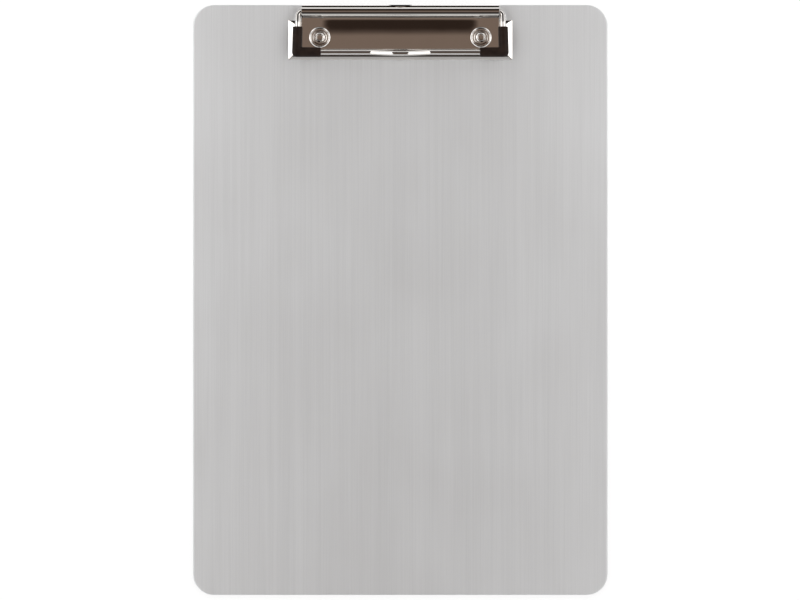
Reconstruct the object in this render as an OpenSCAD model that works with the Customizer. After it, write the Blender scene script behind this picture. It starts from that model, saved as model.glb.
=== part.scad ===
// Flat aluminium clipboard with a low wire clip, lying on its back.
// Millimetres. X runs across the board, +Y runs towards the clip, Z is up.
// The origin is on the back face, under the middle of the board.

/* [Board] */
// Width of the board
board_w = 225; // [180:1:320]
// Length of the board
board_l = 320; // [240:1:450]
// Thickness of the aluminium sheet
board_t = 1.5; // [1:0.1:4]
// Radius of the board's corners
corner_r = 11.5; // [4:0.5:25]

/* [Clip plate] */
// Thickness of the plate's steel sheet
sheet_t = 0.7; // [0.5:0.05:0.9]
// Width of the plate's flat top, which is also the length of the rolled tube
flat_w = 107.2; // [104:0.1:150]
// Distance from the board's rear edge to the front bend of the flat top
flat_front = 23.5; // [23.5:0.5:30]
// Height of the flat top over the board
pan_h = 2.4; // [2:0.1:2.6]
// Width of the sloping skirt at each side, seen from above
side_run = 7.1; // [5:0.1:9]
// Width of the sloping skirt at the front, seen from above
front_run = 6.2; // [5:0.1:9]
// Distance from the board's rear edge to the rear end of the side skirts
skirt_rear = 8.3; // [8:0.1:9.5]
// Length of the slope that closes the rear end of each side skirt
rear_run = 4.1; // [2:0.1:6]
// Width of the open mitre at each front corner
mitre_gap = 0.5; // [0.3:0.1:1]

/* [Rolled tube] */
// Outer diameter of the tube rolled at the plate's rear edge
tube_d = 6.6; // [6.6:0.1:7]
// Distance from the board's rear edge to the tube's axis
tube_back = 3.5; // [3.5:0.1:5]
// Height of the tube's underside over the board
tube_lift = 0.1; // [0.1:0.1:0.5]
// Width of the open seam under the tube
seam_w = 0.6; // [0.4:0.1:1]
// Slope of the seam below the tube's front side, in degrees
seam_tilt = 50; // [45:1:80]
// Width of the rear window at the height of the tube's axis
window_w = 14; // [12:0.5:24]
// Height of the window's crown over the tube's axis
window_crown = 2.7; // [2:0.1:2.9]

/* [Rivets] */
// Distance from each end of the flat top to the rivet beside it
rivet_inset = 9.9; // [8:0.1:30]
// Distance from the board's rear edge to the rivets
rivet_back = 17.6; // [17:0.1:18]
// Diameter of the stamped dimple at the flat top
dimple_d = 11.2; // [10.5:0.1:11.6]
// Diameter of the dimple's floor
dimple_floor_d = 8.9; // [8.8:0.1:9.4]
// Diameter of the rivet's head
head_d = 8.1; // [7:0.1:8.4]
// Height of the rivet's head over the dimple's floor
head_h = 1.3; // [1:0.1:2]
// Diameter of the head's raised inner ring
ring_d = 5.3; // [5:0.1:6]
// Diameter of the hollow in the head
hollow_d = 3.8; // [3:0.1:4]
// Diameter of the rivet's shank
shank_d = 4.6; // [4.5:0.1:5]
// Diameter of the flared tail at the board's back face
tail_d = 6.6; // [6:0.1:8]
// Depth of the countersink that holds the flared tail
tail_h = 0.8; // [0.5:0.1:0.9]
// Diameter of the open hole in the flared tail
tail_hole_d = 2.8; // [2:0.1:3.4]

/* [Bail] */
// Diameter of the bail's spring wire
wire_d = 3; // [2.8:0.1:3]
// Gap between each leg and the end of the tube
exit_clear = 0.3; // [0.2:0.05:0.6]
// How far each leg splays outwards from the tube to the front corner
leg_splay = 0.7; // [0.4:0.1:1.2]
// Distance from the flat top's front bend to the front run's centre line
front_ahead = 2.2; // [2:0.1:3]
// Distance from the tube's axis to the bend where the legs turn level
rise_run = 6.2; // [5.5:0.1:6.5]
// Bend radius where the wire leaves the tube
exit_r = 2.9; // [2.6:0.1:3]
// Bend radius where the legs turn level
rise_r = 3; // [2:0.5:4]
// Bend radius at the front corners
front_r = 2.2; // [2:0.1:2.5]
// Distance from the middle to the foot of the thumb hump
hump_foot = 16.2; // [15:0.1:24]
// Distance from the middle to the end of the hump's crest
hump_crest = 4.6; // [4:0.1:6]
// Height of the thumb hump
hump_h = 4.2; // [3:0.1:5]
// Forward lean of the thumb hump
hump_lean = 0.7; // [0:0.1:1.5]
// Bend radius of the thumb hump
hump_r = 6; // [4:0.5:8]
// Distance from the middle to each end of the wire inside the tube
wire_end = 2.5; // [1:0.1:4]

/* [Grips] */
// Outer diameter of the rubber corner grips
grip_d = 5.3; // [5:0.1:5.4]
// Distance from the board's rear edge to the rear end of the grips
grip_rear = 11.8; // [11.5:0.1:16]
// Length of each grip along the front run, from the leg's centre line
grip_foot = 13; // [8:0.5:25]
// Chamfer at the grips' ends
grip_bevel = 0.4; // [0.2:0.1:0.8]
// Clearance between grip and wire
grip_clear = 0.02; // [0.01:0.01:0.05]
// Gap between the closed grips and the plate, room for a few sheets of paper
grip_gap = 0.3; // [0.2:0.05:0.6]

/* [Bushes] */
// Length of the bush in each end of the tube
bush_l = 6; // [4:0.5:12]
// Distance from the start of the wire's bend to the bush
bush_set = 0.3; // [0.2:0.1:2]
// Clearance between bush and tube
bush_fit = 0.02; // [0.01:0.01:0.05]
// Running clearance between bush and wire
bush_run = 0.05; // [0.02:0.01:0.1]

/* [Torsion spring] */
// Diameter of the torsion spring's wire
coil_wire_d = 0.8; // [0.5:0.05:0.8]
// Gap between the coils and the tube's bore
coil_clear = 0.05; // [0.03:0.01:0.1]
// Turns in each of the two coils
coil_turns = 6; // [3:1:8]
// Gap between neighbouring turns
coil_gap = 0.5; // [0.45:0.05:0.6]
// Distance from the window's end to the first turn of each coil
coil_set = 0.7; // [0.6:0.1:1]
// How much shorter the bridge's straight part is at each end than the way between the coils
bridge_turn = 0.8; // [0.7:0.1:1.5]
// Distance of the bridge behind the tube's axis
bridge_out = 3; // [2.8:0.1:3]
// Gap between the bridge and the window's sill
bridge_rest = 0.05; // [0.02:0.01:0.1]
// Clearance between the spring's end and its cross hole in the wire
tang_clear = 0.1; // [0.05:0.05:0.2]

/* [Hidden] */
$fn = 64;

over = 1;
rear_y = board_l / 2;
deck_z = board_t;

// The clip plate and its tube
flat_z = deck_z + pan_h;
flat_y = rear_y - flat_front;
half_flat = flat_w / 2;
tube_r = tube_d / 2;
bore_r = tube_r - sheet_t;
axis_y = rear_y - tube_back;
axis_z = deck_z + tube_lift + tube_r;
skirt_y = rear_y - skirt_rear;

// The rivets and their dimples
dimple_flare = (dimple_d - dimple_floor_d) / (pan_h - sheet_t);
dimple_wall = sheet_t / cos(atan(dimple_flare / 2));
rivet_x = half_flat - rivet_inset;
rivet_y = rear_y - rivet_back;
floor_z = deck_z + sheet_t;
shank_clear = 0.03;

// The bail, with its legs just high enough for the grips to clear the sloping skirts
wire_r = wire_d / 2;
grip_r = grip_d / 2;
front_y = flat_y - front_ahead;
half_exit = half_flat + wire_r + exit_clear;
half_front = half_exit + leg_splay;
side_slope = atan(pan_h / side_run);
front_slope = atan(pan_h / front_run);
over_side = (grip_r + grip_gap) / cos(side_slope) - (half_exit - half_flat) * tan(side_slope);
over_front = (grip_r + grip_gap) / cos(front_slope) - front_ahead * tan(front_slope);
leg_z = flat_z + max(over_side, over_front);
rise_y = axis_y - rise_run;
rise_x = half_exit + leg_splay * rise_run / (axis_y - front_y);

// The wire is a strand outside the tube and a true round bar inside it, lapped over each other
bend_step = 11;
wire_sides = 24;
pin_lap = 0.5;
pin_step = 0.005;
bore_lap = 2;
pin_x = half_exit - exit_r - pin_lap;

// The torsion spring
coil_wire_r = coil_wire_d / 2;
coil_r = bore_r - coil_clear - coil_wire_r;
coil_pitch = coil_wire_d + coil_gap;
coil_start = window_w / 2 - coil_set;
coil_end = coil_start + coil_turns * coil_pitch;
bridge_half = coil_start - bridge_turn;
turn_rings = 8;
coil_sides = 6;

// Where the spring's ends enter the wire, and how deep, as parts of the wire's radius
tang_x = coil_end + coil_wire_r / 2;
tang_mouth = 0.9;
tang_depth = 0.6;

// Vector helpers
function unit(v) = v / norm(v);
function flip_x(p) = [-p[0], p[1], p[2]];
function backwards(list) = [for (i = [len(list) - 1 : -1 : 0]) list[i]];

// A round bar on the tube's axis
module axle(x0, x1, r) {
    translate([min(x0, x1), axis_y, axis_z]) rotate([0, 90, 0]) cylinder(r = r, h = abs(x1 - x0));
}

// How far the round bend at corner i of a path reaches along its straight runs
function reach(path, bends, i) =
    bends[i] * tan(acos(unit(path[i] - path[i - 1]) * unit(path[i + 1] - path[i])) / 2);

// The points of the round bend at corner i of a path
function bend_points(path, bends, i) =
    let (u = unit(path[i] - path[i - 1]),
         v = unit(path[i + 1] - path[i]),
         s = unit(v - (u * v) * u),
         turn = acos(u * v),
         steps = ceil(turn / bend_step),
         hub = path[i] - u * reach(path, bends, i) + s * bends[i])
    [for (k = [0 : steps]) hub + bends[i] * (u * sin(k * turn / steps) - s * cos(k * turn / steps))];

// A path with its inner corners rounded
function rounded_path(path, bends) = concat(
    [path[0]],
    [for (i = [1 : len(path) - 2]) each bend_points(path, bends, i)],
    [path[len(path) - 1]]);

// Direction of a path at point i
function along(path, i) = unit(path[min(i + 1, len(path) - 1)] - path[max(i - 1, 0)]);

// A side vector carried along the path without twist
function carried(n, t) = unit(n - (n * t) * t);

// A closed strand with flat ends, swept along a path
module strand(path, r, sides) {
    last = len(path) - 1;
    normals = [for (i = 0, n = carried([0, 0, 1], along(path, 0)); i <= last;
                    i = i + 1, n = carried(n, along(path, min(i, last)))) n];
    rings = [for (i = [0 : last]) let (t = along(path, i), n = normals[i], b = cross(t, n))
             [for (k = [0 : sides - 1])
                 path[i] + r * (cos(k * 360 / sides) * n + sin(k * 360 / sides) * b)]];
    walls = [for (i = [0 : last - 1], k = [0 : sides - 1], half = [0, 1])
             let (a = i * sides + k, b = i * sides + (k + 1) % sides)
             half == 0 ? [a, a + sides, b] : [b, a + sides, b + sides]];
    caps = [[for (k = [0 : sides - 1]) k], [for (k = [sides - 1 : -1 : 0]) last * sides + k]];
    polyhedron([for (ring = rings, p = ring) p], concat(walls, caps));
}

module board() {
    color([0.78, 0.78, 0.78])
    difference() {
        linear_extrude(board_t) {
            square([board_w - 2 * corner_r, board_l], center = true);
            square([board_w, board_l - 2 * corner_r], center = true);
            for (x = [-1, 1], y = [-1, 1])
                translate([x * (board_w / 2 - corner_r), y * (board_l / 2 - corner_r)])
                    circle(r = corner_r);
        }
        for (x = [-1, 1]) translate([x * rivet_x, rivet_y, 0]) {
            translate([0, 0, -over]) cylinder(d = shank_d + 2 * shank_clear, h = board_t + 2 * over);
            cylinder(d1 = tail_d, d2 = shank_d + 2 * shank_clear, h = tail_h);
        }
    }
}

// A block with a rectangular base and four sloping sides. Each corner pair is [x, y0, y1].
module sloped_block(base, top, z0, z1) {
    points = concat(
        [[-base[0], base[1], z0], [base[0], base[1], z0], [base[0], base[2], z0], [-base[0], base[2], z0]],
        [[-top[0], top[1], z1], [top[0], top[1], z1], [top[0], top[2], z1], [-top[0], top[2], z1]]);
    polyhedron(points, [[0, 1, 2, 3], [4, 7, 6, 5], [0, 4, 5, 1], [1, 5, 6, 2], [2, 6, 7, 3], [3, 7, 4, 0]]);
}

// How far a sloping wall's inner face lies inside its outer face, measured level
function wall_level(run) = sheet_t / sin(atan(pan_h / run));

// How far a slope has moved in at the height of the flat top's underside
function slope_at_under(run) = run * sheet_t / pan_h;

module pan_outer() {
    sloped_block([half_flat + side_run, flat_y - front_run, skirt_y],
                 [half_flat, flat_y, skirt_y - rear_run], deck_z, flat_z);
}

module pan_inner() {
    side = wall_level(side_run);
    front = wall_level(front_run);
    rear = wall_level(rear_run);
    sloped_block([half_flat + side_run - side, flat_y - front_run + front, skirt_y - rear],
                 [half_flat + slope_at_under(side_run) - side,
                  flat_y - slope_at_under(front_run) + front,
                  skirt_y - rear_run + slope_at_under(rear_run) - rear],
                 deck_z, flat_z - sheet_t);
}

// The shallow hollow tray that carries the flat top
module pan() {
    difference() {
        pan_outer();
        pan_inner();
        rear_opening();
        for (x = [-1, 1]) mitre(x);
    }
}

// The way in under the flat top from the rear, where the pan has no wall
module rear_opening() {
    wall_y = skirt_y - rear_run - wall_level(rear_run);
    translate([-half_flat, wall_y, deck_z - over])
        cube([flat_w, rear_y - wall_y, pan_h - sheet_t + over]);
}

module mitre(side) {
    run = norm([side_run, front_run]);
    translate([side * half_flat, flat_y, deck_z - over])
        rotate(side > 0 ? atan2(-front_run, side_run) : 180 - atan2(-front_run, side_run))
            translate([mitre_gap, -mitre_gap / 2, 0])
                cube([run + over, mitre_gap, pan_h + 2 * over]);
}

// The strip of sheet that joins the pan's flat top to the tube
module rear_strip() {
    start_y = skirt_y - rear_run - over;
    translate([-half_flat, start_y, flat_z - sheet_t])
        cube([flat_w, axis_y - bore_r + sheet_t - start_y, sheet_t]);
}

// The rear edge rolled into a tube, with its seam underneath and its window behind
module rolled_tube() {
    difference() {
        axle(-half_flat, half_flat, tube_r);
        translate([-half_flat - over, axis_y, axis_z])
            rotate([180 + seam_tilt, 0, 0])
                translate([0, 0, -seam_w / 2]) cube([flat_w + 2 * over, tube_d, seam_w]);
        window();
    }
}

// A window with a straight sill under the spring's bridge and an arched crown
module window() {
    half = window_w / 2;
    arch_r = (pow(half, 2) + pow(window_crown, 2)) / (2 * window_crown);
    sill = coil_wire_r + bridge_rest;
    translate([0, axis_y, axis_z])
        rotate([-90, 0, 0])
            linear_extrude(tube_d)
                difference() {
                    translate([0, arch_r - window_crown]) circle(r = arch_r);
                    translate([-2 * arch_r, sill]) square(4 * arch_r);
                }
}

// A cone that widens upwards from z0 to z1, in the dimple's own slope
module dimple_cone(z0, z1, d0) {
    translate([0, 0, z0]) cylinder(d1 = d0, d2 = d0 + dimple_flare * (z1 - z0), h = z1 - z0);
}

module clip_plate() {
    color([0.62, 0.58, 0.55])
    difference() {
        union() {
            difference() {
                union() {
                    pan();
                    rear_strip();
                    rolled_tube();
                }
                axle(-half_flat - over, half_flat + over, bore_r);
            }
            for (x = [-1, 1]) translate([x * rivet_x, rivet_y, 0])
                dimple_cone(deck_z, flat_z - sheet_t / 2,
                            dimple_floor_d + 2 * dimple_wall - dimple_flare * sheet_t);
        }
        for (x = [-1, 1]) translate([x * rivet_x, rivet_y, 0]) {
            dimple_cone(floor_z, flat_z + over, dimple_floor_d);
            cylinder(d = shank_d + 2 * shank_clear, h = flat_z);
        }
    }
}

// A tubular rivet: a domed head with a lipped rim and a raised ring round a hollow, and a flared tail
module rivet(side) {
    head_r = head_d / 2;
    ring_r = ring_d / 2;
    hollow_r = hollow_d / 2;
    hole_r = tail_hole_d / 2;
    top_z = floor_z + head_h;
    rim_z = floor_z + 0.35;
    lip_z = rim_z + 0.25;
    lip_w = 0.4;
    bevel = 0.3;
    ease = 0.2;
    web_z = floor_z - 0.6;
    web_t = 0.5;
    color([0.7, 0.66, 0.62])
    translate([side * rivet_x, rivet_y, 0])
        rotate_extrude()
            polygon([[0, web_z],
                     [hollow_r - ease, web_z],
                     [hollow_r, top_z - bevel],
                     [hollow_r + ease, top_z],
                     [ring_r - ease, top_z],
                     [ring_r, top_z - bevel],
                     [ring_r + ease, lip_z],
                     [head_r - lip_w - bevel, rim_z],
                     [head_r - lip_w, lip_z],
                     [head_r - ease / 2, lip_z],
                     [head_r, rim_z],
                     [head_r, floor_z],
                     [shank_d / 2, floor_z],
                     [shank_d / 2, tail_h],
                     [tail_d / 2 - shank_clear, 0],
                     [hole_r + bevel, 0],
                     [hole_r, bevel],
                     [hole_r, web_z - web_t],
                     [0, web_z - web_t]]);
}

module bush(side) {
    outer_x = pin_x - bush_set;
    color([0.85, 0.84, 0.8])
    difference() {
        axle(side * (outer_x - bush_l), side * outer_x, bore_r - bush_fit);
        axle(side * (outer_x - bush_l - over), side * (outer_x + over), wire_r + bush_run);
    }
}

// A point on the coil at distance x from the middle, turned by a degrees from the rear
function coil_point(x, a) = [x, axis_y + coil_r * cos(a), axis_z + coil_r * sin(a)];

// Half of the spring's centre line: bridge, one coil, and the end that crosses the bail's wire
half_spring = concat(
    [[bridge_half, axis_y + bridge_out, axis_z]],
    [for (i = [0 : coil_turns * turn_rings])
        coil_point(coil_start + i * coil_pitch / turn_rings, i * 360 / turn_rings)],
    [[tang_x, axis_y + wire_r * tang_mouth, axis_z],
     [tang_x, axis_y - wire_r * tang_depth, axis_z]]);
spring_path = concat(backwards([for (p = half_spring) flip_x(p)]), half_spring);

// The least gap between turns of the spring that are more than half a turn apart
spring_gap = min([for (i = [0 : len(spring_path) - 1], j = [i + turn_rings - 1 : 1 : len(spring_path) - 1])
                  norm(spring_path[i] - spring_path[j])]) - coil_wire_d;
echo(least_gap_between_turns = spring_gap);

module torsion_spring() {
    color([0.05, 0.05, 0.05])
    strand(spring_path, coil_wire_r, coil_sides);
}

// The corners of half the bail's centre line, from the middle of its hump to the tube
half_bail = [[0, front_y - hump_lean, leg_z + hump_h],
             [hump_crest, front_y - hump_lean, leg_z + hump_h],
             [hump_foot, front_y, leg_z],
             [half_front, front_y, leg_z],
             [rise_x, rise_y, leg_z],
             [half_exit, axis_y, axis_z],
             [pin_x - pin_lap, axis_y, axis_z]];
half_bends = [0, hump_r, hump_r, front_r, rise_r, exit_r, 0];
half_bail_run = rounded_path(half_bail, half_bends);
bail_run = concat(backwards([for (p = half_bail_run) flip_x(p)]),
                  [for (i = [1 : len(half_bail_run) - 1]) half_bail_run[i]]);

module bail_wire() {
    color([0.75, 0.72, 0.68])
    difference() {
        union() {
            strand(bail_run, wire_r - pin_step, wire_sides);
            for (x = [-1, 1]) axle(x * wire_end, x * pin_x, wire_r);
        }
        for (x = [-1, 1])
            translate([x * tang_x, axis_y - wire_d, axis_z])
                rotate([-90, 0, 0]) cylinder(r = coil_wire_r + tang_clear, h = 2 * wire_d, $fn = 32);
    }
}

// A moulded rubber corner, round in section, over the wire's front bend
module grip(side) {
    tilt = round(100 * atan(leg_splay / (axis_y - front_y))) / 100;
    leg_l = (rear_y - grip_rear - front_y) / cos(tilt);
    color([0.06, 0.06, 0.06])
    mirror([side > 0 ? 0 : 1, 0, 0])
        translate([half_front, front_y, leg_z])
            difference() {
                union() {
                    sphere(r = grip_r);
                    rotate(180) grip_arm(grip_foot);
                    rotate(90 + tilt) grip_arm(leg_l);
                }
                grip_bore(90 + tilt, grip_foot, leg_l);
            }
}

// A rod along X whose far end is chamfered
module grip_arm(length) {
    rotate([0, 90, 0])
        rotate_extrude()
            polygon([[0, 0], [grip_r, 0], [grip_r, length - grip_bevel], [grip_r - grip_bevel, length],
                     [0, length]]);
}

// The way through a grip for the wire: a round bend between two straight runs that are a trace wider
module grip_bore(turn, run_in, run_out) {
    r = wire_r + grip_clear;
    translate([-front_r * tan(turn / 2), front_r, 0])
        rotate(-90) {
            rotate(-bore_lap)
                rotate_extrude(angle = turn + 2 * bore_lap) translate([front_r, 0]) circle(r = r);
            translate([front_r, 0, 0]) rotate([90, 0, 0]) cylinder(r = r + pin_step, h = run_in);
            rotate(turn)
                translate([front_r, 0, 0]) rotate([-90, 0, 0]) cylinder(r = r + pin_step, h = run_out);
        }
}

board();
clip_plate();
rivet(-1);  // rivet_left
rivet(1);  // rivet_right
bush(-1);  // bush_left
bush(1);  // bush_right
torsion_spring();
bail_wire();
grip(-1);  // grip_left
grip(1);  // grip_right
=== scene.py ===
"""Looks of a flat aluminium clipboard with a low wire clip.

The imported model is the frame. Sizes are millimetres, as in the part's source, and MM turns them to metres.
X runs across the board, +Y towards the clip, Z up out of the face that carries the paper.
"""

import math

import bmesh
import bpy
from mathutils import Matrix, Vector


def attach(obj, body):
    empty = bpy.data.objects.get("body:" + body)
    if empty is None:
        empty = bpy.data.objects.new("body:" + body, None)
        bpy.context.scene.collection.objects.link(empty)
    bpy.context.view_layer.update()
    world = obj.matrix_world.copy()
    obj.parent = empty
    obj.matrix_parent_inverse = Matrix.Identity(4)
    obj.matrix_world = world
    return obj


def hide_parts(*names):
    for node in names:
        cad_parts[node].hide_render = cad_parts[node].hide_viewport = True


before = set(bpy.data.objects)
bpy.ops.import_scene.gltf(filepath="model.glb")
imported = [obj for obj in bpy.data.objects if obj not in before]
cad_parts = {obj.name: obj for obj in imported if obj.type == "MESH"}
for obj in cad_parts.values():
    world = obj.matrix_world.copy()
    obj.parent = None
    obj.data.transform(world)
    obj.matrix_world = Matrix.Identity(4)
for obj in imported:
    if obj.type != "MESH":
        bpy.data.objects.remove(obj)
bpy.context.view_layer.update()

MM = 0.001

# Board
BOARD_W, BOARD_L, BOARD_T, CORNER_R = 225, 320, 1.5, 11.5
EDGE_EASE, EDGE_STEPS = 0.22, 3
FACE_INSET, TAIL_CLEAR, CUT_PAST = 1.2, 0.15, 1

# Clip plate
SHEET_T = 0.7
FLAT_W, FLAT_FRONT, PAN_H = 107.2, 23.5, 2.4
DIP_START, DIP_HALF, DIP_FADE = 18.5, 37.5, 8
SIDE_RUN, FRONT_RUN, SKIRT_REAR = 7.1, 6.2, 8.3
MITRE_HALF, MITRE_SHARE = 0.34, 0.1
MIDDLE_STEPS, END_STEPS = 12, 6

# Easing of the sheet's cut edges, and the folds between faces, in radians, that count as one
SHEET_EASE, EDGE_ANGLES = 0.1, (1.1, 2.0)

# Slopes of the pressed sheet, as distances from the bend or from the start of the dip, and the slope there
DIP_SLOPES = [(0, 0), (6.3, 0.095), (10.2, 0.095), (10.9, 0), (14, 0)]
FRONT_SLOPES = [(0, 0), (0.5, 0.09), (0.8, 0.28), (4.35, 0.28), (4.9, 0.66), (6.2, 0.7)]
SIDE_SLOPES = [(0, 0), (0.15, 0.24), (0.3, 0.285), (4.6, 0.285), (5.2, 0.45), (7.1, 0.5)]

# Rows of the skirts, as shares of their run, and of the hips behind the side skirts. A hip falls evenly by
# HIP_FALL, and past its knee ever more steeply.
SKIRT_SHARES = [0, 0.02, 0.04, 0.06, 0.08, 0.1, 0.13, 0.2, 0.35, 0.5]
SKIRT_SHARES += [0.62, 0.66, 0.7, 0.72, 0.745, 0.77, 0.8, 0.9, 1]
HIP_SHARES = [0, 0.1, 0.25, 0.45, 0.65, 0.75, 0.82, 0.88, 0.94, 1]
HIP_FALL, HIP_KNEE, HIP_STEEP = 0.4, 0.8, 15

# Tube behind the plate, its seam underneath and its window
TUBE_R, TUBE_BACK, TUBE_LIFT = 3.3, 3.5, 0.1
NECK_R = 0.3
SEAM_ANGLE, SEAM_HALF = -130, 5.2
STRIP_STEPS, NECK_STEPS, TUBE_STEPS = 8, 8, 60
WINDOW_W, WINDOW_CROWN, WINDOW_SILL, WINDOW_IN, ARCH_STEPS = 14, 2.7, 0.45, 0.4, 24

# Rivets
RIVET_X, RIVET_BACK = 43.7, 17.6
SHANK_R, SHANK_CLEAR = 2.3, 0.03
TAIL_R, TAIL_H = 3.3, 0.8

# Dimples round the rivets: half the square of sheet that each takes, the bends of its wall as a radius and
# the slope where it ends, the fillet at its foot, and the radius inside which it doesn't follow the dip
RIVET_CELL, CELL_STEPS, CELL_EDGE = 5.9, 16, 0.08
DIMPLE_BENDS = [(0.8, 8), (0.5, 26), (1.9, 40), (0.5, 76)]
DIMPLE_FILLET, DIMPLE_FLOOR_R, DIMPLE_RIM_R = 0.25, 3.4, 4.7
BEND_STEP, FILLET_STEP = 5, 16

# Bail
WIRE_R = 1.5
EXIT_CLEAR, LEG_SPLAY, FRONT_AHEAD = 0.3, 0.7, 2.2
RISE_RUN, EXIT_R, RISE_R, FRONT_R = 6.2, 2.9, 3.0, 2.2
HUMP_FOOT, HUMP_CREST, HUMP_H, HUMP_LEAN, HUMP_R = 16.2, 3.5, 4.2, 0.7, 6.0
WIRE_END = 2.5

# Grips
GRIP_R, GRIP_REAR, GRIP_FOOT, GRIP_GAP = 2.65, 11.8, 13.0, 0.3
GRIP_EASE, GRIP_VOXEL, GRIP_SMOOTHING = 0.45, 0.16, 14

# Torsion spring
COIL_WIRE_R, COIL_CLEAR, COIL_TURNS, COIL_GAP = 0.4, 0.05, 6, 0.5
COIL_START, COIL_STEPS = 6.3, 16
BRIDGE_HALF, BRIDGE_OUT, BRIDGE_R = 6.35, 3.08, 0.45
TANG_REAR, TANG_FRONT = 0.9, 0.6

# Studio: the floor, the softboxes on each side, and the camera above the middle of the photograph's frame
FLOOR_HALF, FLOOR_DROP = 4000, 0.05
MIRROR_NEAR, MIRROR_FAR = 7, 10
SOFTBOX_OUT, SOFTBOX_ALONG, SOFTBOX_UP, SOFTBOX_SIDE = 300, 180, 280, 260
REAR_POWER, FRONT_POWER = 0.28, 0.17
CAMERA_H, CAMERA_X = 4000, -0.2
PHOTO_W, PIXEL = 800, 0.5424

# Sides of what is round, and the distances under which points are taken as one
HOLE_SIDES, RIVET_SIDES, GRIP_SIDES, COIL_SIDES, WIRE_SIDES = 48, 72, 48, 14, 40
SLACK, MERGE = 0.01, 0.0005

# Places that follow from the sizes
REAR_Y = BOARD_L / 2
DECK_Z = BOARD_T
HALF_FLAT = FLAT_W / 2
FLAT_Z = DECK_Z + PAN_H
FLAT_Y = REAR_Y - FLAT_FRONT
SKIRT_Y = REAR_Y - SKIRT_REAR
AXIS_Y = REAR_Y - TUBE_BACK
AXIS_Z = DECK_Z + TUBE_LIFT + TUBE_R
FLOOR_Z = DECK_Z + SHEET_T
RIVET_Y = REAR_Y - RIVET_BACK
FRONT_Y = FLAT_Y - FRONT_AHEAD
HALF_EXIT = HALF_FLAT + WIRE_R + EXIT_CLEAR
HALF_FRONT = HALF_EXIT + LEG_SPLAY


def leg_height():
    """Height of the legs' centre line, just high enough for the grips to clear the sloping skirts."""
    side, front = math.atan(PAN_H / SIDE_RUN), math.atan(PAN_H / FRONT_RUN)
    over_side = (GRIP_R + GRIP_GAP) / math.cos(side) - (HALF_EXIT - HALF_FLAT) * math.tan(side)
    over_front = (GRIP_R + GRIP_GAP) / math.cos(front) - FRONT_AHEAD * math.tan(front)
    return FLAT_Z + max(over_side, over_front)


LEG_Z = leg_height()


# Meshes


def new_piece(name, bm, smooth_angle=32):
    """A piece from a mesh built in millimetres, with its place in its mesh."""
    for v in bm.verts:
        v.co *= MM
    mesh = bpy.data.meshes.new(name)
    bm.to_mesh(mesh)
    bm.free()
    piece = bpy.data.objects.new(name, mesh)
    bpy.context.scene.collection.objects.link(piece)
    shade(piece, smooth_angle)
    return piece


def shade(piece, smooth_angle):
    """Smooth faces, with the edges sharper than the angle kept crisp."""
    mesh = piece.data
    mesh.polygons.foreach_set("use_smooth", [True] * len(mesh.polygons))
    mesh.set_sharp_from_angle(angle=math.radians(smooth_angle))


def bake_modifiers(piece):
    """Turns the piece and its modifiers into a plain mesh."""
    bpy.context.view_layer.update()
    graph = bpy.context.evaluated_depsgraph_get()
    mesh = bpy.data.meshes.new_from_object(piece.evaluated_get(graph))
    old = piece.data
    piece.modifiers.clear()
    piece.data = mesh
    bpy.data.meshes.remove(old)
    return piece


def remove(piece):
    bpy.data.objects.remove(piece, do_unlink=True)


def cut(piece, cutters):
    """Takes the cutters out of the piece, and removes them."""
    for cutter in cutters:
        modifier = piece.modifiers.new("cut", "BOOLEAN")
        modifier.operation, modifier.solver, modifier.object = "DIFFERENCE", "EXACT", cutter
    bake_modifiers(piece)
    for cutter in cutters:
        remove(cutter)
    return piece


def rounded(points, radii, step=6.0):
    """A path through the points with its inner corners rounded, in two or three dimensions."""
    points = [Vector(p).to_3d() for p in points]
    path = [points[0]]
    for before, corner, after, radius in zip(points, points[1:], points[2:], radii):
        u, v = (corner - before).normalized(), (after - corner).normalized()
        turn = u.angle(v)
        if radius <= 0 or turn < 1e-4:
            path.append(corner)
            continue
        side = (v - u * u.dot(v)).normalized()
        hub = corner - u * radius * math.tan(turn / 2) + side * radius
        steps = max(2, math.ceil(math.degrees(turn) / step))
        for k in range(steps + 1):
            a = turn * k / steps
            path.append(hub + radius * (u * math.sin(a) - side * math.cos(a)))
    return path + [points[-1]]


def lathe(profile, sides, centre=(0, 0)):
    """A closed turned shape from a profile of radius and height that runs from axis to axis."""
    bm = bmesh.new()
    rings = []
    for r, z in profile:
        if r < 1e-6:
            rings.append([bm.verts.new((centre[0], centre[1], z))])
            continue
        rings.append([
            bm.verts.new((centre[0] + r * math.cos(a), centre[1] + r * math.sin(a), z))
            for a in (2 * math.pi * k / sides for k in range(sides))
        ])
    for low, high in zip(rings, rings[1:]):
        for k in range(sides):
            n = (k + 1) % sides
            ring = [low[k % len(low)], low[n % len(low)], high[n % len(high)], high[k % len(high)]]
            ring = [v for i, v in enumerate(ring) if v not in ring[:i]]
            if len(ring) > 2:
                bm.faces.new(ring)
    bmesh.ops.recalc_face_normals(bm, faces=bm.faces)
    return bm


def prism(outline, axis, low, high):
    """A straight prism of a closed outline along axis 0, 1 or 2."""
    bm = bmesh.new()
    ends = []
    for level in (low, high):
        ring = []
        for a, b in outline:
            p = [a, b]
            p.insert(axis, level)
            ring.append(bm.verts.new(p))
        ends.append(ring)
    bm.faces.new(ends[0])
    bm.faces.new(ends[1][::-1])
    for k in range(len(outline)):
        n = (k + 1) % len(outline)
        bm.faces.new([ends[0][k], ends[1][k], ends[1][n], ends[0][n]])
    bmesh.ops.recalc_face_normals(bm, faces=bm.faces)
    return bm


# Board


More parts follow.
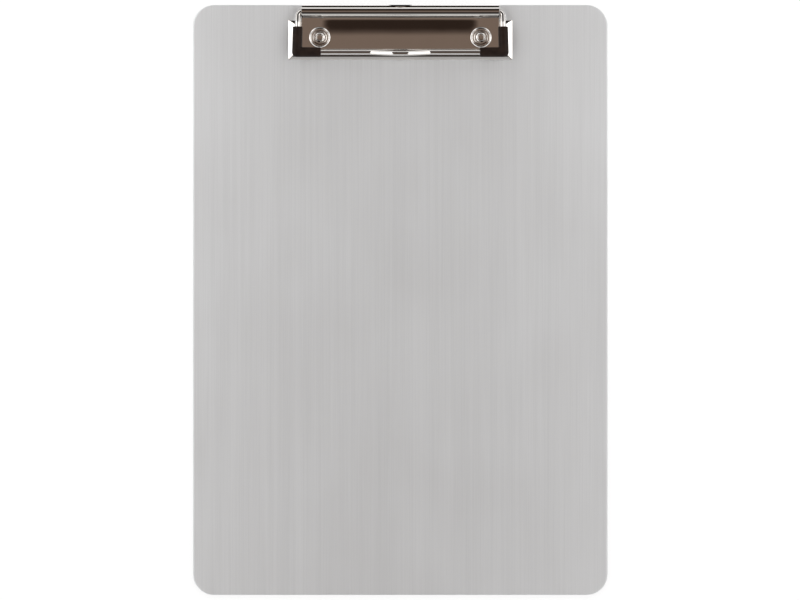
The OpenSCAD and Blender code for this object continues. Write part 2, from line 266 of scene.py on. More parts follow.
def board_outline(inset, steps=14):
    """The board's outline, a rectangle with round corners, drawn in by the inset."""
    r = CORNER_R - inset
    points = []
    for quarter, (sx, sy) in enumerate([(1, 1), (-1, 1), (-1, -1), (1, -1)]):
        cx, cy = sx * (BOARD_W / 2 - CORNER_R), sy * (BOARD_L / 2 - CORNER_R)
        for k in range(steps + 1):
            a = math.radians(90 * (quarter + k / steps))
            points.append((cx + r * math.cos(a), cy + r * math.sin(a)))
    return points


def make_board():
    """The sheet with eased edges and the two countersunk rivet holes."""
    lower = [(FACE_INSET, 0)]
    for k in range(EDGE_STEPS + 1):
        a = math.radians(90 * k / EDGE_STEPS)
        lower.append((EDGE_EASE * (1 - math.sin(a)), EDGE_EASE * (1 - math.cos(a))))
    rings = lower + [(inset, BOARD_T - z) for inset, z in reversed(lower)]
    bm = bmesh.new()
    loops = [[bm.verts.new((x, y, z)) for x, y in board_outline(inset)] for inset, z in rings]
    for low, high in zip(loops, loops[1:]):
        for k in range(len(low)):
            n = (k + 1) % len(low)
            bm.faces.new([low[k], low[n], high[n], high[k]])
    bm.faces.new(loops[0][::-1])
    bm.faces.new(loops[-1])
    bmesh.ops.recalc_face_normals(bm, faces=bm.faces)
    board = new_piece("brushed_board", bm)
    hole, sink, top = SHANK_R + SHANK_CLEAR, TAIL_R + TAIL_CLEAR, BOARD_T + CUT_PAST
    profile = [(0, -CUT_PAST), (sink, -CUT_PAST), (sink, 0), (hole, TAIL_H), (hole, top), (0, top)]
    cutters = [new_piece("hole", lathe(profile, HOLE_SIDES, (side * RIVET_X, RIVET_Y))) for side in (-1, 1)]
    cut(board, cutters)
    shade(board, 28)
    return board


# Clip plate


def fall(distance, slopes):
    """The drop at a distance, from a list of distances and the slopes there."""
    total = 0
    for (d0, s0), (d1, s1) in zip(slopes, slopes[1:]):
        part = min(max(distance - d0, 0), d1 - d0)
        total += part * (s0 + (s1 - s0) * part / (d1 - d0) / 2)
    return total


def skirt_drop(distance, slopes):
    """A skirt's drop at a distance from its bend. Its slopes are scaled to end on the board."""
    return PAN_H * fall(distance, slopes) / fall(slopes[-1][0], slopes)


def dimple_profile():
    """Radius and height of the dimple's wall, from the flat top down to its floor and in to the hole."""
    profile = [(RIVET_CELL - CELL_EDGE, FLAT_Z)]
    angle = 0

    def bend(radius, until, step):
        """Follows an arc from the angle reached so far to the next, each a slope in degrees."""
        nonlocal angle
        while angle != until:
            towards = min(angle + step, until) if until > angle else max(angle - step, until)
            a0, a1 = math.radians(angle), math.radians(towards)
            r, z = profile[-1]
            run, drop = radius * abs(math.sin(a1) - math.sin(a0)), radius * abs(math.cos(a0) - math.cos(a1))
            profile.append((r - run, z - drop))
            angle = towards

    for radius, until in DIMPLE_BENDS:
        bend(radius, until, BEND_STEP)
    r, z = profile[-1]
    straight = z - DIMPLE_FILLET * (1 - math.cos(math.radians(angle))) - FLOOR_Z
    profile.append((r - straight / math.tan(math.radians(angle)), z - straight))
    bend(DIMPLE_FILLET, 0, FILLET_STEP)
    return profile + [(DIMPLE_FLOOR_R, FLOOR_Z), (SHANK_R + SHANK_CLEAR, FLOOR_Z)]


def dip(x, y):
    """How far the flat sinks in front of the tube, between the rivets, where the press drew the sheet in."""
    depth = fall(y - (REAR_Y - DIP_START), DIP_SLOPES)
    across = min(max((abs(x) - DIP_HALF) / DIP_FADE, 0), 1)
    return depth * (1 - across * across * (3 - 2 * across))


def neck_and_tube():
    """The plate behind the rivets, as Y, Z and share of the dip: strip, hollow bend, tube to its seam."""
    neck_z = FLAT_Z + NECK_R
    neck_y = AXIS_Y - math.sqrt((TUBE_R + NECK_R) ** 2 - (neck_z - AXIS_Z) ** 2)
    towards = math.degrees(math.atan2(AXIS_Z - neck_z, AXIS_Y - neck_y))
    start_y = RIVET_Y + RIVET_CELL
    section = []
    for k in range(1, STRIP_STEPS + 1):
        section.append((start_y + (neck_y - start_y) * k / STRIP_STEPS, FLAT_Z, 1))
    for k in range(1, NECK_STEPS + 1):
        a = math.radians(-90 + (90 + towards) * k / NECK_STEPS)
        section.append((neck_y + NECK_R * math.cos(a), neck_z + NECK_R * math.sin(a), 1 - k / NECK_STEPS))
    start, end = 180 + towards, SEAM_ANGLE + SEAM_HALF
    for k in range(1, TUBE_STEPS + 1):
        a = math.radians(start + (end - start) * k / TUBE_STEPS)
        section.append((AXIS_Y + TUBE_R * math.cos(a), AXIS_Z + TUBE_R * math.sin(a), 0))
    return section


def plate_columns():
    """X places across the plate: wide apart in the middle, even over each rivet, close at the ends."""
    inner, outer = RIVET_X - RIVET_CELL, RIVET_X + RIVET_CELL
    half = [inner * k / MIDDLE_STEPS for k in range(MIDDLE_STEPS)]
    half += [inner + (outer - inner) * k / CELL_STEPS for k in range(CELL_STEPS)]
    half += [outer + (HALF_FLAT - outer) * k / END_STEPS for k in range(END_STEPS + 1)]
    return [-x for x in reversed(half[1:])] + half


def quad(bm, low, high, k, flip=False):
    """A face between two rows of vertices."""
    corners = [low[k], high[k], high[k + 1], low[k + 1]]
    bm.faces.new(corners[::-1] if flip else corners)


def mitre(share):
    """Half the open mitre at a share of the skirts' run. It widens from the bend to its full width."""
    return MITRE_HALF * min(1, share / MITRE_SHARE)


def flat_rows(bm, xs, ys):
    """Rows of points from the front skirt's foot to the tube's seam, with none inside the dimples."""
    rows = []
    for t in reversed(SKIRT_SHARES[1:]):
        stretch = 1 + (SIDE_RUN * t - mitre(t)) / HALF_FLAT
        z = FLAT_Z - skirt_drop(FRONT_RUN * t, FRONT_SLOPES)
        rows.append([bm.verts.new((x * stretch, FLAT_Y - FRONT_RUN * t, z)) for x in xs])
    for j, y in enumerate(ys):
        row = []
        for x in xs:
            inside = abs(abs(x) - RIVET_X) < RIVET_CELL - SLACK and 0 < j < CELL_STEPS
            row.append(None if inside else bm.verts.new((x, y, FLAT_Z - dip(x, y))))
        rows.append(row)
    for y, z, share_of_dip in neck_and_tube():
        rows.append([bm.verts.new((x, y, z - share_of_dip * dip(x, y))) for x in xs])
    return rows


def join_rows(bm, xs, rows, first_flat):
    """Faces between the rows, apart from the two squares that the dimples fill."""
    for j, (low, high) in enumerate(zip(rows, rows[1:])):
        beside_rivets = first_flat <= j < first_flat + CELL_STEPS
        for i in range(len(xs) - 1):
            corners = [low[i], low[i + 1], high[i + 1], high[i]]
            over_rivet = abs(abs(xs[i] + xs[i + 1]) / 2 - RIVET_X) < RIVET_CELL
            if None not in corners and not (over_rivet and beside_rivets):
                bm.faces.new(corners)


def press_dimple(bm, xs, rows, first_flat, side):
    """Rings of the dimple's wall, from the edge of its square of sheet in to the hole."""
    steps = range(CELL_STEPS)
    left = min(range(len(xs)), key=lambda i: abs(xs[i] - (side * RIVET_X - RIVET_CELL)))
    right, rear = left + CELL_STEPS, first_flat + CELL_STEPS
    cell = [rows[first_flat][left + k] for k in steps] + [rows[first_flat + k][right] for k in steps]
    cell += [rows[rear][right - k] for k in steps] + [rows[rear - k][left] for k in steps]
    outer = cell
    for r, z in dimple_profile():
        ring = []
        for v in cell:
            d = Vector((v.co.x - side * RIVET_X, v.co.y - RIVET_Y)).normalized() * r
            x, y = side * RIVET_X + d.x, RIVET_Y + d.y
            ring.append(bm.verts.new((x, y, z - dip(x, y) * min(max(r - DIMPLE_RIM_R, 0), 1))))
        for k in range(len(cell)):
            n = (k + 1) % len(cell)
            bm.faces.new([outer[k], outer[n], ring[n], ring[k]])
        outer = ring


def bend_side(bm, ys, edge, side):
    """The side skirt, row by row out from the bend, and the rounded hip that closes it behind."""
    start, span = ys[0], ys[-1] - ys[0]
    line, hip = edge, None
    for t in SKIRT_SHARES:
        x = HALF_FLAT + SIDE_RUN * t
        z = FLAT_Z - skirt_drop(SIDE_RUN * t, SIDE_SLOPES)
        y0 = FLAT_Y - FRONT_RUN * t + mitre(t)
        y1 = ys[-1] + (SKIRT_Y - ys[-1]) * t
        if t > 0:
            before = line
            line = [bm.verts.new((side * x, y0 + (y1 - y0) * (y - start) / span, z)) for y in ys]
            for k in range(len(ys) - 1):
                quad(bm, before, line, k, side < 0)
        hip_before, hip = hip, [line[-1]]
        for u in HIP_SHARES[1:]:
            down = HIP_FALL * u + HIP_STEEP * max(u - HIP_KNEE, 0) ** 2
            hip.append(bm.verts.new((side * x, y1 + (SKIRT_Y - y1) * u, z - (z - DECK_Z) * down)))
        if hip_before:
            for k in range(len(HIP_SHARES) - 1):
                quad(bm, hip_before, hip, k, side < 0)


def ease_rim(plate):
    """Flattens the skirts' feet on the board, and eases the sheet's cut edges above it."""
    bm = bmesh.new()
    bm.from_mesh(plate.data)
    for v in bm.verts:
        v.co.z = max(v.co.z, DECK_Z * MM)
    least, most = EDGE_ANGLES
    # Just above the dimples' floor, so the edges of their holes and the skirts' feet stay as cut
    lowest = 1.02 * FLOOR_Z * MM
    rim = []
    for edge in bm.edges:
        above = min(v.co.z for v in edge.verts) > lowest
        if len(edge.link_faces) == 2 and least < edge.calc_face_angle(0) < most and above:
            rim.append(edge)
    bmesh.ops.bevel(
        bm, geom=rim, offset=SHEET_EASE * MM, offset_type="OFFSET", segments=2, profile=0.6, affect="EDGES",
        clamp_overlap=True,
    )
    bm.to_mesh(plate.data)
    bm.free()


def window_cutter():
    """The arched window behind the tube: a flat sill under an arc."""
    half = WINDOW_W / 2
    arch_r = (half ** 2 + WINDOW_CROWN ** 2) / (2 * WINDOW_CROWN)
    hub_z = AXIS_Z + WINDOW_CROWN - arch_r
    sill_z = AXIS_Z - WINDOW_SILL
    reach = math.asin(math.sqrt(arch_r ** 2 - (sill_z - hub_z) ** 2) / arch_r)
    arch = []
    for a in (reach * (1 - 2 * k / ARCH_STEPS) for k in range(ARCH_STEPS + 1)):
        arch.append((arch_r * math.sin(a), hub_z + arch_r * math.cos(a)))
    return new_piece("window", prism(arch, 1, AXIS_Y + WINDOW_IN, AXIS_Y + 2 * TUBE_R))


def make_plate():
    """The stamped sheet: flat top, sloping skirts, open mitres, rivet dimples, and tube with its window."""
    bm = bmesh.new()
    xs = plate_columns()
    ys = [RIVET_Y - RIVET_CELL + 2 * RIVET_CELL * k / CELL_STEPS for k in range(CELL_STEPS + 1)]
    rows = flat_rows(bm, xs, ys)
    first_flat = len(SKIRT_SHARES) - 1
    join_rows(bm, xs, rows, first_flat)
    for side in (-1, 1):
        press_dimple(bm, xs, rows, first_flat, side)
    for side in (-1, 1):
        edge = [row[-1 if side > 0 else 0] for row in rows[first_flat:first_flat + CELL_STEPS]]
        bend_side(bm, ys[:CELL_STEPS], edge, side)
    bmesh.ops.remove_doubles(bm, verts=bm.verts, dist=MERGE)
    bmesh.ops.dissolve_degenerate(bm, edges=bm.edges, dist=MERGE)
    plate = new_piece("stamped_plate", bm)
    solidify = plate.modifiers.new("sheet", "SOLIDIFY")
    solidify.thickness, solidify.offset, solidify.use_even_offset = SHEET_T * MM, -1, True
    bake_modifiers(plate)
    ease_rim(plate)
    cut(plate, [window_cutter()])
    shade(plate, 34)
    return plate


# Rivets


def rivet_profile():
    """The rivet's section from its hollow head to its flared tail: corners of radius, height and rounding."""
    top, rim, web = FLOOR_Z + 1.3, FLOOR_Z + 0.45, FLOOR_Z - 0.6
    under_web = web - 0.5
    hollow = [(0, web, 0), (1.7, web, 0.25), (1.85, top - 0.05, 0.15)]
    dome = [(2.12, top, 0.12), (2.58, top - 0.29, 0.1)]
    ring = [(2.7, rim, 0.1), (3.36, rim, 0.12), (3.86, rim - 0.31, 0.05), (3.98, FLOOR_Z, 0.02)]
    shank = [(SHANK_R, FLOOR_Z, 0.05), (SHANK_R, TAIL_H, 0.15)]
    tail = [(TAIL_R - 0.03, 0, 0.05), (1.55, 0, 0.2)]
    tail_hollow = [(1.4, 0.5, 0.1), (1.4, under_web, 0.2), (0, under_web, 0)]
    corners = hollow + dome + ring + shank + tail + tail_hollow
    path = rounded([(r, z, 0) for r, z, _ in corners], [c[2] for c in corners[1:-1]], 15)
    return [(max(p.x, 0), p.y) for p in path]


def start_tree(name, **inputs):
    """A geometry tree with its named inputs and a finish as the last one, and the node that gives them."""
    tree = bpy.data.node_groups.new(name, "GeometryNodeTree")
    for label, kind in {**inputs, "finish": "Material"}.items():
        title = label.replace("_", " ").title()
        tree.interface.new_socket(title, in_out="INPUT", socket_type=f"NodeSocket{kind}")
    tree.interface.new_socket("Made", in_out="OUTPUT", socket_type="NodeSocketGeometry")
    return tree, tree.nodes.new("NodeGroupInput")


def finish_tree(tree, source, made):
    """Ends a geometry tree: its instances made real, and the finish set on them."""
    nodes, link = tree.nodes, tree.links.new
    real = nodes.new("GeometryNodeRealizeInstances")
    finish = nodes.new("GeometryNodeSetMaterial")
    link(made, real.inputs[0])
    link(real.outputs[0], finish.inputs["Geometry"])
    link(source.outputs["Finish"], finish.inputs["Material"])
    link(finish.outputs[0], nodes.new("NodeGroupOutput").inputs[0])
    return tree


def rivet_row_tree():
    """Geometry nodes that set one rivet at each end of a row."""
    tree, source = start_tree("rivet_row", rivet="Geometry", pitch="Float", row_place="Vector")
    nodes, link = tree.nodes, tree.links.new
    step = nodes.new("ShaderNodeCombineXYZ")
    start = nodes.new("ShaderNodeVectorMath")
    start.operation = "MULTIPLY_ADD"
    start.inputs[1].default_value = (-0.5, 0, 0)
    row = nodes.new("GeometryNodeMeshLine")
    row.inputs["Count"].default_value = 2
    place = nodes.new("GeometryNodeInstanceOnPoints")
    link(source.outputs["Pitch"], step.inputs["X"])
    link(step.outputs[0], start.inputs[0])
    link(source.outputs["Row Place"], start.inputs[2])
    link(start.outputs[0], row.inputs["Start Location"])
    link(step.outputs[0], row.inputs["Offset"])
    link(row.outputs[0], place.inputs["Points"])
    link(source.outputs["Rivet"], place.inputs["Instance"])
    return finish_tree(tree, source, place.outputs[0])


def wire_tree():
    """Geometry nodes that turn a line of points into a round wire."""
    tree, source = start_tree("round_wire", centre_line="Geometry", wire_radius="Float", sides="Int")
    nodes, link = tree.nodes, tree.links.new
    line = nodes.new("GeometryNodeMeshToCurve")
    section = nodes.new("GeometryNodeCurvePrimitiveCircle")
    sweep = nodes.new("GeometryNodeCurveToMesh")
    sweep.inputs["Fill Caps"].default_value = True
    link(source.outputs["Centre Line"], line.inputs["Mesh"])
    link(source.outputs["Sides"], section.inputs["Resolution"])
    link(source.outputs["Wire Radius"], section.inputs["Radius"])
    link(line.outputs[0], sweep.inputs["Curve"])
    link(section.outputs[0], sweep.inputs["Profile Curve"])
    return finish_tree(tree, source, sweep.outputs[0])


def run_tree(piece, tree, values, smooth_angle=40):
    """Runs a geometry tree on the piece with its named inputs set, and keeps the result as a plain mesh."""
    modifier = piece.modifiers.new("make", "NODES")
    modifier.node_group = tree
    for item in tree.interface.items_tree:
        if item.item_type == "SOCKET" and item.in_out == "INPUT" and item.name in values:
            modifier[item.identifier] = values[item.name]
    bake_modifiers(piece)
    shade(piece, smooth_angle)
    return piece


def make_rivets(finish):
    """Both rivets, turned from one section."""
    rivet = new_piece("rivet_pair", lathe(rivet_profile(), RIVET_SIDES))
    return run_tree(rivet, rivet_row_tree(), {
        "Pitch": 2 * RIVET_X * MM, "Row Place": (0, RIVET_Y * MM, 0), "Finish": finish,
    })


# Wires


def make_wire(name, path, radius, sides, finish, tree):
    """A round wire along a path."""
    bm = bmesh.new()
    verts = [bm.verts.new(p) for p in path]
    for a, b in zip(verts, verts[1:]):
        bm.edges.new((a, b))
    return run_tree(new_piece(name, bm), tree, {"Wire Radius": radius * MM, "Sides": sides, "Finish": finish})


def bail_path():
    """The bail's centre line: pin, leg, front corner, thumb hump, and the same back on the other side."""
    rise_y = AXIS_Y - RISE_RUN
    rise_x = HALF_EXIT + LEG_SPLAY * RISE_RUN / (AXIS_Y - FRONT_Y)
    half = [
        (0, FRONT_Y - HUMP_LEAN, LEG_Z + HUMP_H, 0),
        (HUMP_CREST, FRONT_Y - HUMP_LEAN, LEG_Z + HUMP_H, HUMP_R),
        (HUMP_FOOT, FRONT_Y, LEG_Z, HUMP_R),
        (HALF_FRONT, FRONT_Y, LEG_Z, FRONT_R),
        (rise_x, rise_y, LEG_Z, RISE_R),
        (HALF_EXIT, AXIS_Y, AXIS_Z, EXIT_R),
        (WIRE_END, AXIS_Y, AXIS_Z, 0),
    ]
    path = rounded([c[:3] for c in half], [c[3] for c in half[1:-1]], 5)
    return [Vector((-p.x, p.y, p.z)) for p in reversed(path)] + path[1:]


def spring_path():
    """The double torsion spring's centre line: a coil on each side of the bridge that shows in the window."""
    coil_r = TUBE_R - SHEET_T - COIL_CLEAR - COIL_WIRE_R
    pitch = 2 * COIL_WIRE_R + COIL_GAP
    end_x = COIL_START + COIL_TURNS * pitch
    half = []
    for a in (math.radians(15 * k) for k in range(7)):
        x, y = BRIDGE_HALF - BRIDGE_R * (1 - math.sin(a)), BRIDGE_OUT - BRIDGE_R * (1 - math.cos(a))
        half.append(Vector((x, AXIS_Y + y, AXIS_Z)))
    for k in range(COIL_STEPS * COIL_TURNS + 1):
        a = 2 * math.pi * k / COIL_STEPS
        y, z = coil_r * math.cos(a), coil_r * math.sin(a)
        half.append(Vector((COIL_START + pitch * k / COIL_STEPS, AXIS_Y + y, AXIS_Z + z)))
    tang_x = end_x + COIL_WIRE_R / 2
    half += [Vector((tang_x, AXIS_Y + y * WIRE_R, AXIS_Z)) for y in (TANG_REAR, -TANG_FRONT)]
    return [Vector((-p.x, p.y, p.z)) for p in reversed(half)] + half


# Grips


def make_grip(name, side):
    """A moulded rubber corner: two round arms over the wire, with a filleted inside corner and eased ends."""
    tilt = math.atan(LEG_SPLAY / (AXIS_Y - FRONT_Y))
    leg = (REAR_Y - GRIP_REAR - FRONT_Y) / math.cos(tilt)
    corner = Vector((side * HALF_FRONT, FRONT_Y, LEG_Z))
    arms = [(Vector((-side, 0, 0)), GRIP_FOOT), (Vector((-side * math.sin(tilt), math.cos(tilt), 0)), leg)]
    bm = bmesh.new()
    for way, length in arms:
        path = []
        for a in (math.radians(degrees) for degrees in range(0, 91, 6)):
            path.append((GRIP_R * math.sin(a), -GRIP_R * math.cos(a)))
        for a in (math.radians(degrees) for degrees in range(0, 91, 15)):
            r, z = GRIP_R - GRIP_EASE, length - GRIP_EASE
            path.append((r + GRIP_EASE * math.cos(a), z + GRIP_EASE * math.sin(a)))
        arm = lathe(path + [(0, length)], GRIP_SIDES)
        turn = Vector((0, 0, 1)).rotation_difference(way).to_matrix().to_4x4()
        mesh = bpy.data.meshes.new("arm")
        arm.transform(turn)
        for v in arm.verts:
            v.co += corner
        arm.to_mesh(mesh)
        arm.free()
        bm.from_mesh(mesh)
        bpy.data.meshes.remove(mesh)
    grip = new_piece(name, bm)
    remesh = grip.modifiers.new("one skin", "REMESH")
    remesh.mode, remesh.voxel_size, remesh.adaptivity = "VOXEL", GRIP_VOXEL * MM, 0
    soften = grip.modifiers.new("soften", "SMOOTH")
    soften.factor, soften.iterations = 0.5, GRIP_SMOOTHING
    bake_modifiers(grip)
    shade(grip, 60)
    return grip


# Materials


class Socket:
    """A node's output that takes part in sums written in Python."""

    def __init__(self, graph, out):
        self.graph, self.out = graph, out

    def math(self, operation, *values):
        return self.graph.node("ShaderNodeMath", {"operation": operation}, dict(enumerate(values)))

    def __add__(self, other):
        return self.math("ADD", self, other)

    def __sub__(self, other):
        return self.math("SUBTRACT", self, other)

    def __rsub__(self, other):
        return self.math("SUBTRACT", other, self)

    def __mul__(self, other):
        return self.math("MULTIPLY", self, other)

    def __truediv__(self, other):
        return self.math("DIVIDE", self, other)

    def __rtruediv__(self, other):
        return self.math("DIVIDE", other, self)

    def __pow__(self, other):
        return self.math("POWER", self, other)

    def __abs__(self):
        return self.math("ABSOLUTE", self)

    __radd__ = __add__
    __rmul__ = __mul__


class Graph:
    """Builds a shader tree from expressions."""

    def __init__(self, tree):
        self.tree = tree
        tree.nodes.clear()

    def node(self, kind, settings=None, inputs=None, out=0):
        """Any node: its settings first, a ramp's stops among them, then its sockets' values or links."""
        made = self.tree.nodes.new(kind)
        for name, value in (settings or {}).items():
            if name == "stops":
                self.set_stops(made.color_ramp, value)
            else:
                setattr(made, name, value)
        for name, value in (inputs or {}).items():
            if isinstance(value, Socket):
                self.tree.links.new(value.out, made.inputs[name])
            else:
                made.inputs[name].default_value = value
        return Socket(self, made.outputs[out]) if len(made.outputs) else None

    @staticmethod
    def set_stops(ramp, stops):
        while len(ramp.elements) < len(stops):
            ramp.elements.new(0.5)
        for element, (place, colour) in zip(ramp.elements, stops):
            element.position = place
            element.color = (*colour, 1)

    def axes(self, output):
        """The X and Y of a Texture Coordinate output."""
        split = self.node("ShaderNodeSeparateXYZ", None, {0: self.node("ShaderNodeTexCoord", out=output)})
        return [Socket(self, split.out.node.outputs[axis]) for axis in ("X", "Y")]

    def place(self, scale=(1, 1, 1)):
        """Object coordinates, stretched."""
        spot = self.node("ShaderNodeTexCoord", out="Object")
        return self.node("ShaderNodeVectorMath", {"operation": "MULTIPLY"}, {0: spot, 1: scale})

    def noise(self, scale, detail=2.0, roughness=0.5):
        """A noise from 0 to 1 whose features are about 1 / scale long on each axis."""
        return self.node("ShaderNodeTexNoise", {"noise_dimensions": "3D"}, {
            "Vector": self.place(scale), "Scale": 1.0, "Detail": detail, "Roughness": roughness,
        }, out=0)

    def blend(self, factor, low, high):
        """A colour between two colour sockets or colours."""
        low = low if isinstance(low, Socket) else (*low, 1)
        high = high if isinstance(high, Socket) else (*high, 1)
        return self.node("ShaderNodeMix", {"data_type": "RGBA"}, {0: factor, 6: low, 7: high}, out=2)

    def step(self, value, low, high, start=0.0, end=1.0):
        """A smooth step from start to end while the value goes from low to high."""
        return self.node("ShaderNodeMapRange", {"interpolation_type": "SMOOTHSTEP"}, {
            0: value, 1: low, 2: high, 3: start, 4: end,
        })

    def bump(self, height, distance):
        return self.node("ShaderNodeBump", None, {"Height": height, "Strength": 1.0, "Distance": distance})


def surface(name, build, **fixed):
    """A material on a Principled shader. build gives the inputs that vary, and fixed the ones that don't."""
    material = bpy.data.materials.new(name)
    material.use_nodes = True
    graph = Graph(material.node_tree)
    inputs = {k.replace("_", " ").title().replace("Ior", "IOR"): v for k, v in fixed.items()}
    inputs.update(build(graph))
    shader = graph.node("ShaderNodeBsdfPrincipled", None, inputs)
    graph.node("ShaderNodeOutputMaterial", None, {"Surface": shader})
    return material


def brushed_aluminium(g):
    """Anodised sheet brushed along its length: hair lines, wider streaks and a faint cloud of handling."""
    hair = g.noise((5200, 26, 5200), 2, 0.6)
    streak = g.noise((1100, 7, 1100), 3, 0.6)
    band = g.noise((130, 3, 130), 2)
    cloud = g.noise((22, 16, 22), 3)
    tone = 0.3 * hair + 0.42 * streak + 0.2 * band + 0.08 * cloud
    return {
        "Base Color": g.blend(g.step(tone, 0.25, 0.75), (0.82, 0.834, 0.845), (0.91, 0.924, 0.935)),
        "Roughness": 0.46 + 0.1 * hair + 0.05 * cloud,
        "Normal": g.bump(0.6 * hair + 0.4 * streak, 0.000006),
    }


def polished_nickel(g):
    """Bright nickel plate over pressed steel: a slow waviness, faint smears and a few fine wiping lines."""
    wave = g.noise((70, 90, 70), 1)
    smear = g.noise((160, 60, 160), 4, 0.6)
    wipe = g.noise((500, 4200, 500), 2)
    return {
        "Base Color": g.blend(smear, (0.675, 0.645, 0.615), (0.715, 0.69, 0.665)),
        "Roughness": 0.04 + 0.05 * smear + 0.02 * wipe,
        "Normal": g.bump(wave + 0.02 * wipe, 0.00003),
    }


def drawn_nickel(g):
    """Plated wire: a little duller, with faint pits from drawing."""
    smear = g.noise((260, 260, 260), 3, 0.6)
    pit = g.noise((2600, 2600, 2600), 2)
    return {
        "Base Color": g.blend(smear, (0.68, 0.65, 0.62), (0.73, 0.705, 0.68)),
        "Roughness": 0.05 + 0.06 * smear,
        "Normal": g.bump(pit, 0.0000015),
    }


def moulded_rubber(g):
    """Black rubber with a fine matt grain, rubbed smoother in places, and a trace of dust."""
    grain = g.noise((3000, 3000, 3000), 3, 0.6)
    worn = g.noise((240, 240, 240), 3)
    return {
        "Base Color": g.blend(g.step(worn, 0.3, 0.75), (0.014, 0.0075, 0.005), (0.024, 0.0135, 0.009)),
        "Roughness": 0.42 + 0.16 * worn + 0.08 * grain,
        "Normal": g.bump(grain, 0.00002),
    }


def black_spring_steel(g):
    """Spring wire with a black oiled finish."""
    worn = g.noise((700, 700, 700), 3)
    return {
        "Base Color": g.blend(worn, (0.012, 0.011, 0.011), (0.035, 0.032, 0.03)),
        "Roughness": 0.3 + 0.15 * worn,
        "Normal": g.bump(worn, 0.000004),
    }


def natural_nylon(g):
    """Milky nylon with faint turning marks."""
    mark = g.noise((4000, 300, 300), 2)
    return {
        "Base Color": g.blend(mark, (0.74, 0.72, 0.66), (0.82, 0.80, 0.75)),
        "Roughness": 0.45 + 0.12 * mark,
        "Normal": g.bump(mark, 0.000006),
    }


# Studio


def make_floor():
    """A pale floor. The camera sees it almost white, with the clipboard's soft shadow left on it.

    Reflections see it as bright as that close round the board, and dark further away.
    """
    bm = bmesh.new()
    drop = Matrix.Translation((0, 0, -FLOOR_DROP))
    bmesh.ops.create_grid(bm, x_segments=1, y_segments=1, size=FLOOR_HALF, matrix=drop)
    floor = new_piece("floor", bm)
    material = bpy.data.materials.new("pale_floor")
    material.use_nodes = True
    g = Graph(material.node_tree)
    camera, glossy, through = (
        g.node("ShaderNodeLightPath", out=f"Is {ray} Ray") for ray in ("Camera", "Glossy", "Transmission")
    )
    mirrored = (glossy + through).math("MINIMUM", glossy + through, 1.0)
    x, y = g.axes("Object")
    past_side, past_end = abs(x) - BOARD_W / 2 * MM, abs(y) - BOARD_L / 2 * MM
    far = g.step(past_side.math("MAXIMUM", past_side, past_end), MIRROR_NEAR * MM, MIRROR_FAR * MM)
    seen = camera + mirrored * (1 - far)
    tone = g.blend(mirrored * far, (0.42, 0.42, 0.42), (0.06, 0.055, 0.05))
    matt = g.node("ShaderNodeBsdfDiffuse", None, {"Color": tone})
    glow = g.node("ShaderNodeEmission", None, {"Color": (1, 1, 1, 1), "Strength": 0.66 * seen})
    both = g.node("ShaderNodeAddShader", None, {0: matt, 1: glow})
    g.node("ShaderNodeOutputMaterial", None, {"Surface": both})
    floor.data.materials.append(material)


CEILING_STOPS = [
    (0.27, (0.055, 0.045, 0.04)), (0.33, (0.05, 0.04, 0.034)), (0.37, (0.09, 0.07, 0.058)),
    (0.41, (0.24, 0.19, 0.165)), (0.46, (0.26, 0.2, 0.165)), (0.50, (0.235, 0.175, 0.14)),
    (0.545, (0.235, 0.175, 0.14)), (0.572, (0.11, 0.08, 0.064)), (0.6, (0.036, 0.023, 0.017)),
    (0.65, (0.024, 0.015, 0.011)), (0.8, (0.02, 0.014, 0.011)),
]


def make_world():
    """A studio with a dim brown ceiling, shaded from front to rear, between bright walls.

    The camera sees it white. A direction's X and Y say where on the ceiling or the walls it points.
    """
    world = bpy.data.worlds.new("studio")
    bpy.context.scene.world = world
    world.use_nodes = True
    g = Graph(world.node_tree)
    x, y = g.axes("Generated")
    width, front = abs(x), -1.0 * y
    rear = y.math("GREATER_THAN", y, 0.0)
    spine = g.node("ShaderNodeValToRGB", {"stops": CEILING_STOPS}, {0: 0.5 + 0.5 * y})
    # The ceiling's outline, a rounded oblong that is squarer, deeper and wider to the rear
    bend = 2 + 2 * rear
    depth = abs(y) / (0.68 + 0.06 * rear)
    span = g.step(y, 0.3, 0.55, 0.47, 0.66)
    ring = ((width / span) ** bend + depth ** bend) ** (1 / bend)
    wall = g.step(ring, 0.9, 1.05)
    # The walls: brighter at their foot in front and beside the ceiling, dimmer mid-front and far behind
    low = 0.35 * g.step(front, 0.7, 0.9) + 0.65 * g.step(front, 0.945, 0.965)
    dim = (1 - rear) * (1 - g.step(width, 0.1, 0.45)) * (1 - low)
    horizon = rear * g.step(y, 0.975, 0.992)
    beside = g.step(width, 0.3, 0.45) * (1 - g.step(width, 0.62, 0.76))
    brightness = 0.62 + 0.44 * rear + 0.45 * beside + 0.6 * low - 0.5 * dim - 1.4 * horizon
    walls = g.node("ShaderNodeVectorMath", {"operation": "SCALE"}, {0: (1.0, 1.0, 1.0), "Scale": brightness})
    colour = g.blend(wall, spine, walls)
    camera = g.node("ShaderNodeLightPath", out="Is Camera Ray")
    seen = g.blend(camera, colour, (1, 1, 1))
    back = g.node("ShaderNodeBackground", None, {"Color": seen, "Strength": 1.0})
    g.node("ShaderNodeOutputWorld", None, {"Surface": back})


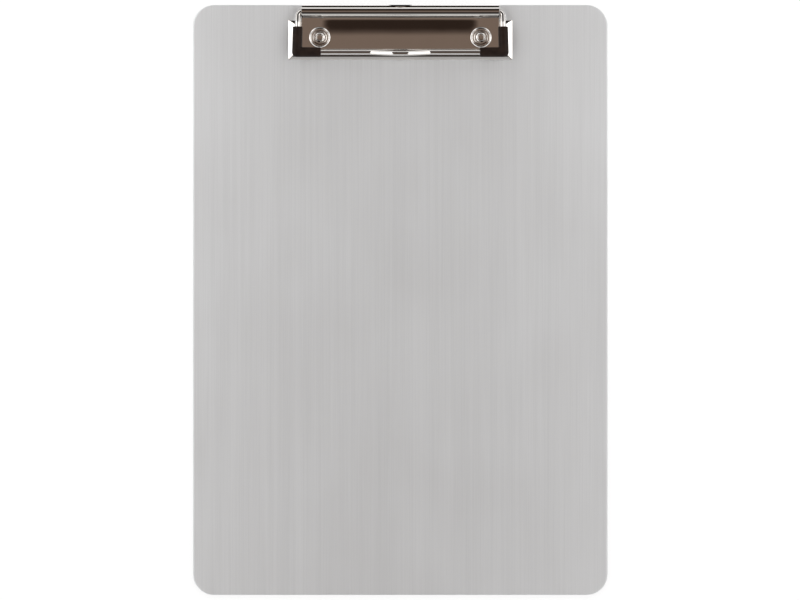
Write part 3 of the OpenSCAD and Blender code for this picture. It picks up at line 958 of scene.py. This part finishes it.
def make_softbox(name, side, along_board, power):
    """A square softbox beside the board, turned in about the board's length."""
    data = bpy.data.lights.new(name, "AREA")
    data.shape, data.energy = "RECTANGLE", power
    data.size = data.size_y = SOFTBOX_SIDE * MM
    lamp = bpy.data.objects.new(name, data)
    bpy.context.scene.collection.objects.link(lamp)
    lamp.location = (side * SOFTBOX_OUT * MM, along_board * MM, SOFTBOX_UP * MM)
    lamp.visible_camera = False
    back = Vector((side * SOFTBOX_OUT, 0, SOFTBOX_UP)).normalized()
    along = Vector((0, 1, 0))
    lamp.rotation_euler = Matrix((along.cross(back), along, back)).transposed().to_euler()


def make_camera():
    """Straight above the board, as in the photograph."""
    data = bpy.data.cameras.new("camera")
    data.sensor_width = 36
    data.lens = data.sensor_width * CAMERA_H / (PHOTO_W * PIXEL)
    camera = bpy.data.objects.new("camera", data)
    bpy.context.scene.collection.objects.link(camera)
    camera.location = (CAMERA_X * MM, 0, (CAMERA_H + BOARD_T) * MM)
    bpy.context.scene.camera = camera


# Putting it together

aluminium = surface("brushed_aluminium", brushed_aluminium, metallic=1.0)
nickel = surface("polished_nickel", polished_nickel, metallic=1.0)
wire_nickel = surface("drawn_nickel", drawn_nickel, metallic=1.0)
rubber = surface("moulded_rubber", moulded_rubber, specular_ior_level=0.12)
spring_steel = surface("black_spring_steel", black_spring_steel, metallic=0.6)
nylon = surface("natural_nylon", natural_nylon, ior=1.53)


def dress(piece, material, body, slot, *nodes):
    """Gives a new piece its finish and its body, in place of the CAD nodes it stands for."""
    piece.data.materials.clear()
    piece.data.materials.append(material)
    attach(piece, body)
    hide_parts(*nodes)


wires = wire_tree()
dress(make_board(), aluminium, "board_body", "board_aluminium", "board")
dress(make_plate(), nickel, "board_body", "clip_nickel", "clip_plate")
dress(make_rivets(nickel), nickel, "board_body", "rivet_nickel", "rivet_left", "rivet_right")
dress(make_wire("wound_spring", spring_path(), COIL_WIRE_R, COIL_SIDES, spring_steel, wires),
      spring_steel, "board_body", "spring_black", "torsion_spring")
dress(make_wire("bent_wire", bail_path(), WIRE_R, WIRE_SIDES, wire_nickel, wires),
      wire_nickel, "bail", "bail_nickel", "bail_wire")
dress(make_grip("left_grip", -1), rubber, "bail", "grip_rubber", "grip_left")
dress(make_grip("right_grip", 1), rubber, "bail", "grip_rubber", "grip_right")
for node in ("bush_left", "bush_right"):
    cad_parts[node].data.materials.clear()
    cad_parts[node].data.materials.append(nylon)

make_floor()
make_world()
for side, name in ((-1, "left"), (1, "right")):
    make_softbox(f"{name}_rear_softbox", side, SOFTBOX_ALONG, REAR_POWER)
    make_softbox(f"{name}_front_softbox", side, -SOFTBOX_ALONG, FRONT_POWER)
make_camera()
bpy.context.scene.view_settings.view_transform = "Standard"
